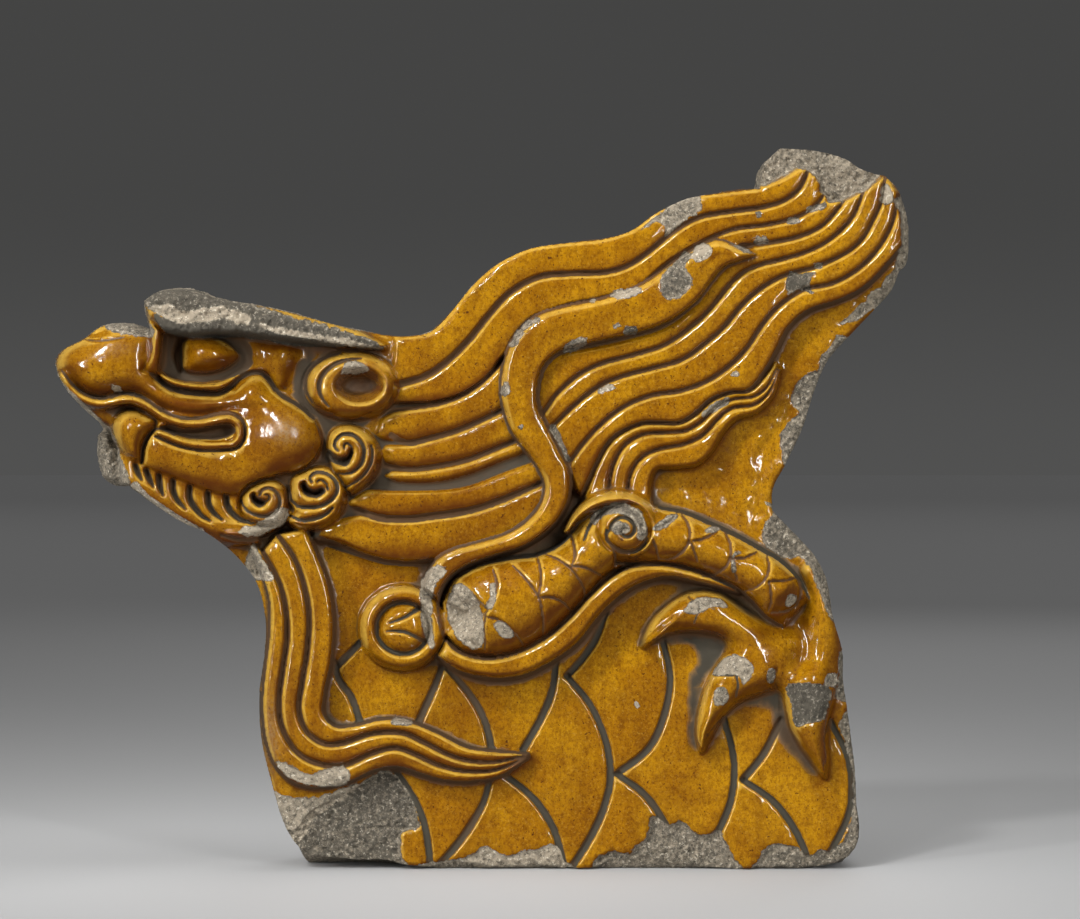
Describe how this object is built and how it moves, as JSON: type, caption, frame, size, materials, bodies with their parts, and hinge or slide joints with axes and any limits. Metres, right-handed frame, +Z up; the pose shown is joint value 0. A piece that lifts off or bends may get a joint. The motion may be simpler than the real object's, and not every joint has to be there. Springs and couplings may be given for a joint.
{
  "type": "glazed roof ridge tile with a dragon",
  "caption": "Thick, silhouette-cut panel of amber-glazed fired clay with a dragon's head, mane, ribbon and foreleg in high relief, flat-backed, standing on a flat, chipped foot.",
  "frame": {"origin": "middle of the bounding box at the level of the underside", "axes": "+X across the tile towards the tip of the mane, -Y the way the carved front faces, +Y the flat back, +Z up"},
  "size_m": [0.4264, 0.096, 0.3612],
  "materials": {
    "amber_glaze": "glossy amber lead glaze over grey-buff clay, worn through in patches"
  },
  "bodies": {
    "root": {"dragon_ridge_tile": "amber_glaze"}
  },
  "joints": []
}
